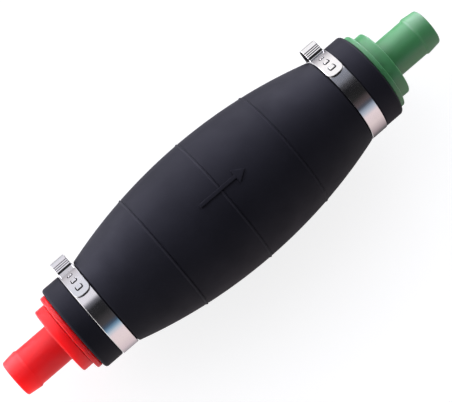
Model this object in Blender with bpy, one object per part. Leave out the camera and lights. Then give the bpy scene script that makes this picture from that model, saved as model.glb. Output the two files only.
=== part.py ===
"""Siphon bulb pump: a rubber bulb with a one-way valve and a hose nozzle in each end.

The flow runs along +X, from the red inlet to the green outlet. The origin is the middle of the bulb,
on its axis, and +Z is the side that carries the flow arrow. Sizes are in millimetres until a mesh is made.
"""

import math

import bmesh
import bpy
from mathutils import Matrix

MM = 0.001
SEGMENTS = 48  # facets round the bulb, the clamps and whatever lies against them
NOZZLE_SEGMENTS = 32  # facets round the nozzles and the valve bodies
VALVE_SEGMENTS = 24  # facets round the small valve pieces
GAP = 0.3  # clearance between pieces that touch

# Distances from the middle of the bulb, along its axis.
HALF_LENGTH = 125.0
BARB = 117.3
HOSE_STOP = 98.8
NOZZLE_FLANGE = 93.3
RUBBER_END = 90.2
CLAMP_CENTRE = 75.5
CARTRIDGE_OUTER_END = 83.7
CARTRIDGE_INNER_END = 66.3
VALVE_BODY_INNER_END = 64.0
NECK_BORE_END = 62.5

# The rubber bulb.
BELLY_RADIUS = 33.55
BELLY_ARC = 250.0
WALL = 4.2
COLLAR_RADIUS = 22.95
COLLAR_ROUND = 1.2
GROOVE_RADIUS = 22.2
GROOVE_WIDTH = 9.0
BELLY_FOOT = 70.7
NECK_BORE = 17.6
RIB_PLACES = (-36.3, 0.0, 36.3)
RIB_HEIGHT = 0.4
RIB_HALF_WIDTH = 0.7

# The raised flow arrow, on a line this far round from the top.
ARROW_ANGLE = math.radians(8.1)
ARROW_TAIL = -11.9
ARROW_NECK = 8.7
ARROW_TIP = 14.2
ARROW_SHAFT = 1.8
ARROW_HEAD = 7.0
ARROW_HEIGHT = 0.4

# The two sides of the bulb that the hand presses in.
PRESS_HALF_LENGTH = 42.0
PRESS_HALF_HEIGHT = 19.0
PRESS_CORNER = 9.0

# Nozzles.
HOSE_TAIL = 9.75
BARB_RADIUS = 10.25
TIP_RADIUS = 9.35
TIP_ROUND = 1.0
NOZZLE_BORE = 7.0
FLANGE_RADIUS = 17.45
SPIGOT_RADIUS = 13.0
SPIGOT_END = 84.0
O_RING_CENTRE = 88.7
O_RING_RADIUS = 12.0
O_RING_SECTION = 1.0

# Valve bodies.
BODY_FLANGE_RADIUS = 20.6
SLEEVE_RADIUS = 17.3
SLEEVE_GROOVE = 16.8
SLEEVE_GROOVES = (69.0, 75.5, 82.0)
CHAMBER_RADIUS = SPIGOT_RADIUS + GAP
LIP_RADIUS = 11.0
CARTRIDGE_RADIUS = 12.9

# The valve, along the flow from the upstream face of its seat.
SEAT_LENGTH = 3.0
SEAT_BORE = 7.5
SEAL_LENGTH = 1.5
SEAL_RADII = (5.0, 9.2)
POPPET_DISC = (5.1, 6.9)
POPPET_RADIUS = 9.8
POPPET_HEAD = 6.2
STEM_RADIUS = 2.0
STEM_END = 19.0
CAGE_PLATE = (14.4, 17.4)
CAGE_HUB = 4.6
CAGE_BORE = 2.35
CAGE_RIM = 10.6
CAGE_ARMS = 3
CAGE_ARM_WIDTH = 2.6
SPRING_RADIUS = 3.7
SPRING_WIRE = 0.35
SPRING_TURNS = 4.5

# Clamps: theta is measured round the axis from +Z towards +Y.
BAND_WIDTH = 8.7
BAND_INNER = GROOVE_RADIUS + GAP
BAND = 0.8
LAP = 0.7
TAB_END = math.radians(26)
EAR_ANGLE = math.radians(84)
EAR_TOP = 29.5
EAR_BASE_HALF = 4.6
EAR_TOP_HALF = 4.2
EAR_ROUND = 2.2
EAR_SHEET = 0.8


def clear_scene():
    for obj in list(bpy.data.objects):
        bpy.data.objects.remove(obj, do_unlink=True)


def material(name, colour, roughness, metallic=0.0):
    made = bpy.data.materials.new(name)
    made.use_nodes = True
    shader = made.node_tree.nodes["Principled BSDF"]
    shader.inputs["Base Color"].default_value = (*colour, 1.0)
    shader.inputs["Roughness"].default_value = roughness
    shader.inputs["Metallic"].default_value = metallic
    return made


def place(name, mesh, finish, x=0.0, turn=0.0):
    """A node: the mesh at x mm along the axis, turned about +Z, with its own finish."""
    obj = bpy.data.objects.new(name, mesh)
    bpy.context.scene.collection.objects.link(obj)
    obj.location.x = x * MM
    obj.rotation_euler.z = turn
    if not mesh.materials:
        mesh.materials.append(finish)
    obj.material_slots[0].link = "OBJECT"
    obj.material_slots[0].material = finish
    return obj


def helper(name, mesh):
    """A shape that only cuts others, or is joined to them."""
    obj = bpy.data.objects.new(name, mesh)
    bpy.context.scene.collection.objects.link(obj)
    obj.hide_render = True
    obj.display_type = "WIRE"
    return obj


def boolean(obj, operation, other):
    modifier = obj.modifiers.new(f"{operation.lower()} {other.name}", "BOOLEAN")
    modifier.operation = operation
    modifier.object = other


def finish_mesh(name, bm):
    bmesh.ops.remove_doubles(bm, verts=bm.verts, dist=1e-7)
    bmesh.ops.dissolve_degenerate(bm, edges=bm.edges, dist=1e-7)
    bmesh.ops.recalc_face_normals(bm, faces=bm.faces)
    mesh = bpy.data.meshes.new(name)
    bm.to_mesh(mesh)
    bm.free()
    mesh.shade_smooth()
    mesh.set_sharp_from_angle(angle=math.radians(30))
    return mesh


def turned(name, outline, segments):
    """A mesh turned about the X axis from a closed outline of (distance along X, radius)."""
    bm = bmesh.new()
    start = math.pi / segments  # a flat, and not an edge, lies lowest
    verts = [
        bm.verts.new((x * MM, r * MM * math.sin(start), r * MM * math.cos(start)))
        for x, r in outline
    ]
    pairs = zip(verts, verts[1:] + verts[:1])
    edges = [bm.edges.new(pair) for pair in pairs if max(p.co.yz.length for p in pair) > 0]
    bmesh.ops.spin(
        bm,
        geom=verts + edges,
        cent=(0, 0, 0),
        axis=(1, 0, 0),
        angle=2 * math.pi,
        steps=segments,
        use_merge=True,
    )
    return finish_mesh(name, bm)


def extruded(name, loops, start, end):
    """A mesh extruded along X, from start to end, of an outline and its holes, each a list of (y, z)."""
    curve = bpy.data.curves.new(name, "CURVE")
    curve.dimensions = "2D"
    curve.fill_mode = "BOTH"
    curve.extrude = (end - start) / 2 * MM
    for loop in loops:
        spline = curve.splines.new("POLY")
        spline.points.add(len(loop) - 1)
        for point, (y, z) in zip(spline.points, loop):
            point.co = (y * MM, z * MM, 0, 1)
        spline.use_cyclic_u = True
    drawn = bpy.data.objects.new(name, curve)
    bpy.context.scene.collection.objects.link(drawn)
    bpy.context.view_layer.update()
    bm = bmesh.new()
    bm.from_mesh(drawn.to_mesh())
    bpy.data.objects.remove(drawn)
    bpy.data.curves.remove(curve)
    upright = Matrix(((0, 0, 1), (1, 0, 0), (0, 1, 0))).to_4x4()
    along = Matrix.Translation(((start + end) / 2 * MM, 0, 0))
    bmesh.ops.transform(bm, matrix=along @ upright, verts=bm.verts)
    return finish_mesh(name, bm)


def polar(radius, theta):
    """(y, z) of a point at this radius, theta round from +Z towards +Y."""
    return radius * math.sin(theta), radius * math.cos(theta)


def circle(radius, segments):
    half = math.pi / segments
    return [polar(radius, half + 2 * math.pi * i / segments) for i in range(segments)]


def arc(radius, first, last, steps):
    return [polar(radius, first + (last - first) * i / steps) for i in range(steps + 1)]


def belly(x):
    """Radius of the belly's outside: an arc of BELLY_ARC, widest in the middle."""
    return BELLY_RADIUS - BELLY_ARC + math.sqrt(BELLY_ARC**2 - x**2)


def bulb_outline():
    """The rubber's section: from the middle to one end outside, back along the bore, then mirrored."""
    outside = []
    for rib in RIB_PLACES:
        if rib < 0:
            continue
        places = (-RIB_HALF_WIDTH, -RIB_HALF_WIDTH / 2, RIB_HALF_WIDTH / 2, RIB_HALF_WIDTH)
        for offset, height in zip(places, (0, RIB_HEIGHT, RIB_HEIGHT, 0)):
            outside.append((rib + offset, belly(rib + offset) + height))
    outside += [(x, belly(x)) for x in (12, 24, 46, 54, 62, BELLY_FOOT)]
    outside = sorted(point for point in outside if point[0] > 0)
    groove_in = CLAMP_CENTRE - GROOVE_WIDTH / 2
    groove_out = CLAMP_CENTRE + GROOVE_WIDTH / 2
    outside += [(groove_in, GROOVE_RADIUS), (groove_out, GROOVE_RADIUS)]
    outside.append((groove_out + 0.5, COLLAR_RADIUS))
    for i in range(4):
        turn = math.pi / 2 * i / 3
        x = RUBBER_END - COLLAR_ROUND * (1 - math.sin(turn))
        outside.append((x, COLLAR_RADIUS - COLLAR_ROUND * (1 - math.cos(turn))))
    inside = [(RUBBER_END, NECK_BORE), (NECK_BORE_END, NECK_BORE)]
    inside += [(x, belly(x) - WALL) for x in (58, 44, 30, 15)]
    half = outside + inside
    return half + [(-x, r) for x, r in reversed(half)]


def rounded_window(name, half_length, half_height, corner, y_from, y_to):
    """A prism along Y with rounded corners, centred on the bulb."""
    bm = bmesh.new()
    verts = []
    for i in range(4):
        middle_x = (half_length - corner) * (1 if i in (0, 3) else -1)
        middle_z = (half_height - corner) * (1 if i in (0, 1) else -1)
        for step in range(5):
            turn = math.pi / 2 * (i + step / 4)
            x = middle_x + corner * math.cos(turn)
            z = middle_z + corner * math.sin(turn)
            verts.append(bm.verts.new((x * MM, y_from * MM, z * MM)))
    face = bm.faces.new(verts)
    pushed = bmesh.ops.extrude_face_region(bm, geom=[face])["geom"]
    moved = [g for g in pushed if isinstance(g, bmesh.types.BMVert)]
    bmesh.ops.translate(bm, verts=moved, vec=(0, (y_to - y_from) * MM, 0))
    return helper(name, finish_mesh(name, bm))


def flow_arrow():
    """The raised arrow: an arrow-shaped prism cut to follow the belly at ARROW_HEIGHT."""
    stations = [ARROW_TAIL - 4 + 3 * i for i in range(12)]
    crown = [(x, belly(x) + ARROW_HEIGHT) for x in stations]
    crown += [(stations[-1], BELLY_RADIUS - WALL / 2), (stations[0], BELLY_RADIUS - WALL / 2)]
    arrow = helper("arrow_shape", turned("arrow_shape", crown, 3 * SEGMENTS))
    outline = [
        (ARROW_TAIL, -ARROW_SHAFT / 2),
        (ARROW_NECK, -ARROW_SHAFT / 2),
        (ARROW_NECK, -ARROW_HEAD / 2),
        (ARROW_TIP, 0),
        (ARROW_NECK, ARROW_HEAD / 2),
        (ARROW_NECK, ARROW_SHAFT / 2),
        (ARROW_TAIL, ARROW_SHAFT / 2),
    ]
    bm = bmesh.new()
    low = [bm.verts.new((x * MM, y * MM, 0.8 * BELLY_RADIUS * MM)) for x, y in outline]
    pushed = bmesh.ops.extrude_face_region(bm, geom=[bm.faces.new(low)])["geom"]
    moved = [g for g in pushed if isinstance(g, bmesh.types.BMVert)]
    bmesh.ops.translate(bm, verts=moved, vec=(0, 0, 0.4 * BELLY_RADIUS * MM))
    bmesh.ops.rotate(bm, verts=bm.verts, matrix=Matrix.Rotation(-ARROW_ANGLE, 3, "X"))
    boolean(arrow, "INTERSECT", helper("arrow_outline", finish_mesh("arrow_outline", bm)))
    return arrow


def make_bulb(rubber):
    shell = turned("bulb", bulb_outline(), SEGMENTS)
    reach = BELLY_RADIUS + 5
    body = place("bulb_body", shell, rubber)
    opening = (PRESS_HALF_LENGTH, PRESS_HALF_HEIGHT, PRESS_CORNER)
    boolean(body, "DIFFERENCE", rounded_window("press_windows", *opening, -reach, reach))
    boolean(body, "UNION", flow_arrow())
    inset = [size - GAP for size in opening]
    for name, far in (("bulb_wall_left", reach), ("bulb_wall_right", -reach)):
        wall = place(name, shell, rubber)
        boolean(wall, "INTERSECT", rounded_window(name + "_outline", *inset, 0, far))


def nozzle_mesh():
    stop = HOSE_STOP
    groove = O_RING_SECTION + GAP
    outline = [
        (SPIGOT_END, CAGE_RIM),
        (SPIGOT_END + 6, NOZZLE_BORE),
        (HALF_LENGTH, NOZZLE_BORE),
        (HALF_LENGTH, TIP_RADIUS - TIP_ROUND),
        (HALF_LENGTH - 0.3 * TIP_ROUND, TIP_RADIUS - 0.3 * TIP_ROUND),
        (HALF_LENGTH - TIP_ROUND, TIP_RADIUS),
        (BARB + 0.4, BARB_RADIUS),
        (BARB - 0.3, BARB_RADIUS),
        (BARB - 1.3, HOSE_TAIL),
        (stop + 0.6, HOSE_TAIL),
        (stop, HOSE_TAIL + 0.6),
        (stop, FLANGE_RADIUS - 0.6),
        (stop - 0.6, FLANGE_RADIUS),
        (NOZZLE_FLANGE, FLANGE_RADIUS),
        (NOZZLE_FLANGE, SPIGOT_RADIUS),
        (O_RING_CENTRE + groove, SPIGOT_RADIUS),
        (O_RING_CENTRE + groove, O_RING_RADIUS - groove),
        (O_RING_CENTRE - groove, O_RING_RADIUS - groove),
        (O_RING_CENTRE - groove, SPIGOT_RADIUS),
        (SPIGOT_END, SPIGOT_RADIUS),
    ]
    return turned("nozzle", outline, NOZZLE_SEGMENTS)


def valve_body_mesh():
    flange_in = RUBBER_END + GAP
    flange_out = NOZZLE_FLANGE - GAP
    outline = [
        (flange_out, CHAMBER_RADIUS),
        (flange_out, BODY_FLANGE_RADIUS - 0.5),
        (flange_out - 0.5, BODY_FLANGE_RADIUS),
        (flange_in, BODY_FLANGE_RADIUS),
        (flange_in, SLEEVE_RADIUS),
    ]
    for x in reversed(SLEEVE_GROOVES):
        outline += [(x + 0.8, SLEEVE_RADIUS), (x, SLEEVE_GROOVE), (x - 1.6, SLEEVE_RADIUS)]
    outline += [
        (VALVE_BODY_INNER_END, SLEEVE_GROOVE),
        (VALVE_BODY_INNER_END, LIP_RADIUS),
        (CARTRIDGE_INNER_END - GAP, LIP_RADIUS),
        (CARTRIDGE_INNER_END - GAP, CHAMBER_RADIUS),
    ]
    return turned("valve_body", outline, NOZZLE_SEGMENTS)


def o_ring_mesh():
    outline = [
        (
            O_RING_CENTRE + O_RING_SECTION * math.cos(2 * math.pi * i / 8),
            O_RING_RADIUS + O_RING_SECTION * math.sin(2 * math.pi * i / 8),
        )
        for i in range(8)
    ]
    return turned("nozzle_o_ring", outline, VALVE_SEGMENTS)


def valve_seat_mesh():
    lip = SEAT_BORE + 1.1
    outline = [
        (0, SEAT_BORE + 0.8),
        (0.8, SEAT_BORE),
        (SEAT_LENGTH, SEAT_BORE),
        (SEAT_LENGTH, lip),
        (SEAT_LENGTH - 0.5, lip + 0.4),
        (SEAT_LENGTH - 0.5, CARTRIDGE_RADIUS),
        (0, CARTRIDGE_RADIUS),
    ]
    return turned("valve_seat", outline, VALVE_SEGMENTS)


def poppet_seal_mesh():
    inner, outer = SEAL_RADII
    start = SEAT_LENGTH + GAP
    end = start + SEAL_LENGTH
    outline = [(start, inner), (start, outer), (end, outer), (end, inner)]
    return turned("poppet_seal", outline, VALVE_SEGMENTS)


def poppet_mesh():
    neck = SEAL_RADII[0] - GAP
    near, far = POPPET_DISC
    outline = [
        (1.6, 0),
        (1.6, POPPET_HEAD - 1.2),
        (2.4, POPPET_HEAD),
        (SEAT_LENGTH, POPPET_HEAD),
        (SEAT_LENGTH, neck),
        (near, neck),
        (near, POPPET_RADIUS - 0.3),
        (near + 0.3, POPPET_RADIUS),
        (far - 0.6, POPPET_RADIUS),
        (far, POPPET_RADIUS - 0.9),
        (far, STEM_RADIUS + 0.6),
        (far + 1.3, STEM_RADIUS),
        (STEM_END - 0.6, STEM_RADIUS),
        (STEM_END, STEM_RADIUS - 0.6),
        (STEM_END, 0),
    ]
    return turned("valve_poppet", outline, VALVE_SEGMENTS)


def spring_curve():
    """A coil between the poppet's disc and the cage, as a curve with a round section."""
    start = POPPET_DISC[1] + GAP + SPRING_WIRE
    end = CAGE_PLATE[0] - GAP - SPRING_WIRE
    steps = round(SPRING_TURNS * 14)
    curve = bpy.data.curves.new("valve_spring", "CURVE")
    curve.dimensions = "3D"
    curve.bevel_depth = SPRING_WIRE * MM
    curve.bevel_resolution = 1
    curve.use_fill_caps = True
    spline = curve.splines.new("POLY")
    spline.points.add(steps)
    for i, point in enumerate(spline.points):
        turn = 2 * math.pi * SPRING_TURNS * i / steps
        y, z = polar(SPRING_RADIUS, turn)
        x = start + (end - start) * i / steps
        point.co = (x * MM, y * MM, z * MM, 1)
    return curve


def cage_windows():
    """The openings between the cage's arms, each a sector between its hub and its rim."""
    windows = []
    spread = 2 * math.pi / CAGE_ARMS
    inner = math.asin(CAGE_ARM_WIDTH / 2 / CAGE_HUB)
    outer = math.asin(CAGE_ARM_WIDTH / 2 / CAGE_RIM)
    for i in range(CAGE_ARMS):
        first, last = spread * i, spread * (i + 1)
        near = arc(CAGE_HUB, first + inner, last - inner, 5)
        far = arc(CAGE_RIM, first + outer, last - outer, 9)
        windows.append(near + far[::-1])
    return windows


def cage_post(angle):
    """One of the posts that stand from the cage's plate to the seat, clear of the poppet."""
    half = CAGE_ARM_WIDTH / 2 / CAGE_RIM
    inside = arc(CAGE_RIM + 0.6, angle - half, angle + half, 2)
    outside = arc(CARTRIDGE_RADIUS - 0.02, angle - half, angle + half, 2)
    return inside + outside[::-1]


def make_cage(name, plastic, x):
    plate_near, plate_far = CAGE_PLATE
    loops = [circle(CARTRIDGE_RADIUS, VALVE_SEGMENTS), circle(CAGE_BORE, 12), *cage_windows()]
    cage = place(name, extruded(name, loops, plate_near, plate_far), plastic, x)
    for i in range(CAGE_ARMS):
        angle = 2 * math.pi * i / CAGE_ARMS
        post_name = f"{name}_post_{i + 1}"
        foot = SEAT_LENGTH + GAP
        post = helper(post_name, extruded(post_name, [cage_post(angle)], foot, plate_near + 1.5))
        post.location.x = x * MM
        boolean(cage, "UNION", post)


def ear_side(half_base, half_top, top, corner, base_radius):
    """Half of the ear's outline as (tangent, radius): from its foot up to the middle of its top."""
    points = [(half_base, base_radius)]
    for i in range(5):
        turn = math.pi / 2 * i / 4
        tangent = half_top - corner * (1 - math.cos(turn))
        points.append((tangent, top - corner * (1 - math.sin(turn))))
    return points


def ear_outline(inset, base_radius):
    """The ear's outline across its width, as (y, z), inset by the sheet's thickness for its inside."""
    half = ear_side(
        EAR_BASE_HALF - inset,
        EAR_TOP_HALF - inset,
        EAR_TOP - inset,
        EAR_ROUND - inset,
        base_radius,
    )
    whole = [(-t, r) for t, r in half] + half[::-1]
    sin, cos = math.sin(EAR_ANGLE), math.cos(EAR_ANGLE)
    return [(r * sin + t * cos, r * cos - t * sin) for t, r in whole]


def clamp_mesh():
    """The band, its outer lap from the tab's end to the ear, and the ear, as one extruded section."""
    outer = BAND_INNER + BAND
    lap = outer + LAP
    foot = math.atan2(EAR_BASE_HALF, lap)
    ear = ear_outline(0, outer - 0.1)
    lap_run = arc(lap, TAB_END, EAR_ANGLE - foot, 8)
    band_run = arc(outer, EAR_ANGLE + foot, TAB_END + 2 * math.pi, 38)
    tunnel = ear_outline(EAR_SHEET, outer + 0.15)
    loops = [lap_run + ear[1:-1] + band_run, circle(BAND_INNER, SEGMENTS), tunnel]
    half = BAND_WIDTH / 2
    return extruded("clamp", loops, -half, half)


def make_ends(finishes):
    """Both ends: the same mouldings, the inlet's turned round, and each valve facing down the flow."""
    nozzle, valve_body, o_ring = nozzle_mesh(), valve_body_mesh(), o_ring_mesh()
    seat, seal, poppet = valve_seat_mesh(), poppet_seal_mesh(), poppet_mesh()
    spring, clamp = spring_curve(), clamp_mesh()
    ends = (
        ("inlet", math.pi, -CARTRIDGE_OUTER_END, -CLAMP_CENTRE),
        ("outlet", 0.0, CARTRIDGE_INNER_END, CLAMP_CENTRE),
    )
    for end, turn, valve_x, clamp_x in ends:
        colour = finishes[end]
        place(f"{end}_nozzle", nozzle, colour, turn=turn)
        place(f"{end}_valve_body", valve_body, colour, turn=turn)
        place(f"{end}_nozzle_o_ring", o_ring, finishes["seal"], turn=turn)
        place(f"{end}_valve_seat", seat, finishes["valve"], valve_x)
        place(f"{end}_poppet_seal", seal, finishes["seal"], valve_x)
        place(f"{end}_valve_poppet", poppet, finishes["valve"], valve_x)
        place(f"{end}_valve_spring", spring, finishes["spring"], valve_x)
        make_cage(f"{end}_valve_cage", finishes["valve"], valve_x)
        place(f"{end}_clamp", clamp, finishes["clamp"], clamp_x)


def main():
    clear_scene()
    finishes = {
        "inlet": material("inlet_plastic", (0.75, 0.02, 0.03), 0.4),
        "outlet": material("outlet_plastic", (0.08, 0.3, 0.13), 0.4),
        "valve": material("valve_plastic", (0.8, 0.8, 0.77), 0.5),
        "seal": material("seal_rubber", (0.02, 0.02, 0.02), 0.7),
        "spring": material("spring_steel", (0.6, 0.6, 0.6), 0.3, 1.0),
        "clamp": material("clamp_steel", (0.75, 0.75, 0.77), 0.15, 1.0),
    }
    make_bulb(material("bulb_rubber", (0.012, 0.012, 0.016), 0.6))
    make_ends(finishes)


main()
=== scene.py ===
"""Looks of the siphon bulb pump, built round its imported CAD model.

Sizes are in millimetres until a mesh is made. The pump's axis is X, its flow runs along +X, and theta is
measured round that axis from +Z, the side with the flow arrow, towards +Y, the side with the clamps' ears.
"""

import math

import bmesh
import bpy
import numpy as np
from mathutils import Matrix, Vector


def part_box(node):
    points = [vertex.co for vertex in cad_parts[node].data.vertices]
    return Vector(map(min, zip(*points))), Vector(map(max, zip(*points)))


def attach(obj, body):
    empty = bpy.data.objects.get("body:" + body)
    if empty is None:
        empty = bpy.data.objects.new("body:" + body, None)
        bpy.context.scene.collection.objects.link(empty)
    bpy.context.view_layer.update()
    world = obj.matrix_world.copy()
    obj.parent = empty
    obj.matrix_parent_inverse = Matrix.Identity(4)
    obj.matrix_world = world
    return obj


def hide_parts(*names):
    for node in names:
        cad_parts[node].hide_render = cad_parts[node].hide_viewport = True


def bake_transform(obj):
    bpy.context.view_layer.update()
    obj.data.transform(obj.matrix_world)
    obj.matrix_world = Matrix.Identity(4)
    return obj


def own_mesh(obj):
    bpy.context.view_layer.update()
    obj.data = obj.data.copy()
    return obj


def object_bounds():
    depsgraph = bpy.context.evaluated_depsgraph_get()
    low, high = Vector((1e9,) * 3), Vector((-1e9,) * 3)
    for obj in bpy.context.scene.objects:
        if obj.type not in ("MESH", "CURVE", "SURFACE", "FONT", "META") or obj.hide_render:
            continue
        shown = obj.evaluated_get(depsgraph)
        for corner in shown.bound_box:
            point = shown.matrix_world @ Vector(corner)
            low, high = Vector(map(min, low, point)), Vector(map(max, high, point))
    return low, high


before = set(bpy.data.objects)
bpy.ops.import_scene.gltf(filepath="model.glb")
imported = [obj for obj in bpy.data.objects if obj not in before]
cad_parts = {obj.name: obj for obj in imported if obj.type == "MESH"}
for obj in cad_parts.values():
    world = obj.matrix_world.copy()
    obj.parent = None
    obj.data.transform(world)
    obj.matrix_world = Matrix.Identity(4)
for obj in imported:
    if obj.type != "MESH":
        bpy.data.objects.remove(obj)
CAD_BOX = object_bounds()

MM = 0.001
ENDS = ("inlet", "outlet")
SIDES = {"inlet": -1, "outlet": 1}


def node_span(node, axis=0):
    """Lowest and highest coordinate of a CAD node along an axis, in millimetres."""
    low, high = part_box(node)
    return low[axis] / MM, high[axis] / MM


GAP = 0.3  # clearance between pieces that touch
BARB_LENGTH = 7.7
TAIL_LENGTH = 26.2

# Places along the axis, from the CAD model, as distances from the middle of the bulb.
NOZZLE_INNER, HALF_LENGTH = node_span("outlet_nozzle")
RUBBER_END = node_span("bulb_body")[1]
BODY_INNER, BODY_OUTER = node_span("outlet_valve_body")
CLAMP_START, CLAMP_END = node_span("outlet_clamp")
CLAMP_CENTRE = (CLAMP_START + CLAMP_END) / 2
BAND_WIDTH = CLAMP_END - CLAMP_START
BARB = HALF_LENGTH - BARB_LENGTH
HOSE_STOP = HALF_LENGTH - TAIL_LENGTH
NOZZLE_FLANGE = BODY_OUTER + GAP
FLOOR_HEIGHT = CAD_BOX[0].z / MM - 0.05

# The rubber bulb.
BELLY_RADIUS = 33.55
BELLY_ARC = 250.0
WALL = 4.2
COLLAR_RADIUS = 22.95
GROOVE_RADIUS = 22.2
GROOVE_WIDTH = 9.0
NECK_BORE = 17.6
NECK_BORE_END = 62.5
RIB_PLACES = (-36.3, 0.0, 36.3)
RIB_HEIGHT = 0.33
RIB_GROOVE = 0.14
RIB_CLEARANCE = 1.5

# Where the rubber starts to follow a pressed wall: this far from the upright plane through the axis, and
# beyond the flat middle stretch, further out by the taper towards each end.
SQUEEZE_START = 9.0
SQUEEZE_FLAT = 18
SQUEEZE_TAPER = 0.38

# The raised flow arrow, on a line this far round from the top.
ARROW_ANGLE = math.radians(8.1)
ARROW_TAIL, ARROW_NECK, ARROW_TIP = -11.9, 8.7, 14.2
ARROW_SHAFT, ARROW_HEAD = 1.8, 7.0
ARROW_HEIGHT = 0.8
ARROW_ROOT = 1.0
ARROW_EDGE = 0.16
ARROW_FACET = 0.75

# Nozzles and valve bodies.
HOSE_TAIL = 9.75
BARB_RADIUS = 10.25
TIP_RADIUS = 9.35
NOZZLE_BORE = 7.0
FLANGE_RADIUS = 17.45
SPIGOT_RADIUS = 13.0
O_RING_CENTRE = 88.7
O_RING_RADIUS = 12.0
O_RING_SECTION = 1.0
BODY_FLANGE_RADIUS = 20.6
SLEEVE_RADIUS = 17.3
SLEEVE_GROOVE = 16.8
SLEEVE_GROOVES = (69.0, 75.5, 82.0)
CHAMBER_RADIUS = 13.3
LIP_RADIUS = 11.0

# The valves, along the flow from the upstream face of their seats.
CARTRIDGE_RADIUS = 12.9
SEAT_LENGTH = 3.0
SEAT_BORE = 7.5
SEAL_LENGTH = 1.5
SEAL_RADII = (5.0, 9.2)
POPPET_DISC = (5.1, 6.9)
POPPET_RADIUS = 9.8
POPPET_HEAD = 6.2
STEM_RADIUS = 2.0
STEM_END = 19.0
CAGE_PLATE = (14.4, 17.4)
CAGE_HUB = 4.6
CAGE_BORE = 2.35
CAGE_RIM = 10.6
CAGE_ARMS = 3
CAGE_ARM_WIDTH = 2.6
CAGE_CORNER = 0.6
CAGE_EDGE = 0.25
SPRING_RADIUS = 3.7
SPRING_WIRE = 0.35
SPRING_TURNS = 4.5
SPRING_FOOT, SPRING_TOP = POPPET_DISC[1] + GAP, CAGE_PLATE[0] - GAP

# Clamps: one strip of steel each, from the end of its outer lap, over the ear and once round. The middle
# sizes are radii of the strip's middle line.
STRIP = 0.7
STRIP_CHAMFER = 0.22
BAND_MIDDLE = 22.88
LAP_MIDDLE = 23.62
STRIP_END = math.radians(360 + 92)
LAP_ENDS = {"inlet": math.radians(22), "outlet": math.radians(25)}
LAP_CORNER = 3.0
LAP_LIFT = 0.5
LAP_LIFT_LENGTH = 4.0

# The ear: its bends start EAR_REACH to either side of its own middle, and its legs stand EAR_HALF from it.
# Each leg steps inwards at its creases, by (step, height of the step, half width of the ear's top).
EAR_ANGLE = math.radians(84)
EAR_REACH = 6.2
EAR_HALF = 4.8
EAR_TOP_MIDDLE = 29.12
EAR_WIDTHS = {"inlet": 7.8, "outlet": 8.0}
EAR_SHOULDER = 1.4
CREASE_START = 24.7
CREASE_PITCH = 0.9
CREASE_COUNT = 3
EAR_CREASES = {"inlet": (0.3, 0.6, 3.2), "outlet": (0.38, 0.5, 2.4)}

# Hooks and their windows in the lap: (degrees from the lap's end, length along the strip, width).
HOOKS = ((10.5, 2.7, 3.6), (21.7, 2.5, 3.2), (32.7, 2.1, 2.8))
HOOK_GAP = 0.5
WINDOW_CORNER = 0.8

# Camera: its place, what it looks at, and how far it is rolled from the pump's axis.
CAMERA_PLACE = (-60.6, -0.8, 845.4)
CAMERA_AIM = (0.9, -0.8, 0.0)
CAMERA_LENS = 146.8
AXIS_TURN = math.radians(40.65)


# ---------------------------------------------------------------- outlines


def belly(x):
    return BELLY_RADIUS - BELLY_ARC + math.sqrt(BELLY_ARC**2 - x**2)


def rounded(corners, closed=True, step=math.radians(12)):
    """An outline whose corners, each (x, r) or (x, r, radius), are replaced by arcs."""
    points = []
    count = len(corners)
    for i, corner in enumerate(corners):
        here = Vector(corner[:2])
        radius = corner[2] if len(corner) > 2 else 0.0
        if radius <= 0 or (not closed and i in (0, count - 1)):
            points.append(tuple(here))
            continue
        to_last = Vector(corners[i - 1][:2]) - here
        to_next = Vector(corners[(i + 1) % count][:2]) - here
        room = 0.49 * min(to_last.length, to_next.length)
        to_last.normalize()
        to_next.normalize()
        half = to_last.angle(to_next) / 2
        if half > math.radians(89):
            points.append(tuple(here))
            continue
        reach = min(radius / math.tan(half), room)
        radius = reach * math.tan(half)
        centre = here + (to_last + to_next).normalized() * (radius / math.sin(half))
        first = here + to_last * reach - centre
        last = here + to_next * reach - centre
        sweep = math.atan2(first.cross(last), first.dot(last))
        steps = max(3, math.ceil(abs(sweep) / step))
        for k in range(steps + 1):
            turn = sweep * k / steps
            arm = Matrix.Rotation(turn, 2) @ first
            points.append(tuple(centre + arm))
    return points


def arc_points(radius, first, last, steps):
    """(y, z) points on a circle round the axis, from theta first to theta last."""
    turns = [first + (last - first) * i / steps for i in range(steps + 1)]
    return [(radius * math.sin(t), radius * math.cos(t)) for t in turns]


# ---------------------------------------------------------------- meshes


def new_object(name, verts, faces):
    mesh = bpy.data.meshes.new(name)
    mesh.from_pydata(verts, [], faces)
    mesh.update()
    obj = bpy.data.objects.new(name, mesh)
    bpy.context.scene.collection.objects.link(obj)
    return obj


def outline_normals(outline, closed):
    """A normal for each point of an outline, mostly that of its longer neighbouring side."""
    points = np.array(outline, float)
    sides = np.roll(points, -1, axis=0) - points
    lengths = np.linalg.norm(sides, axis=1, keepdims=True)
    if not closed:
        sides[-1], lengths[-1] = 0, 1
    across = np.stack([sides[:, 1], -sides[:, 0]], axis=1)
    weighted = across * lengths
    total = weighted + np.roll(weighted, 1, axis=0)
    total /= np.linalg.norm(total, axis=1, keepdims=True)
    return total


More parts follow.
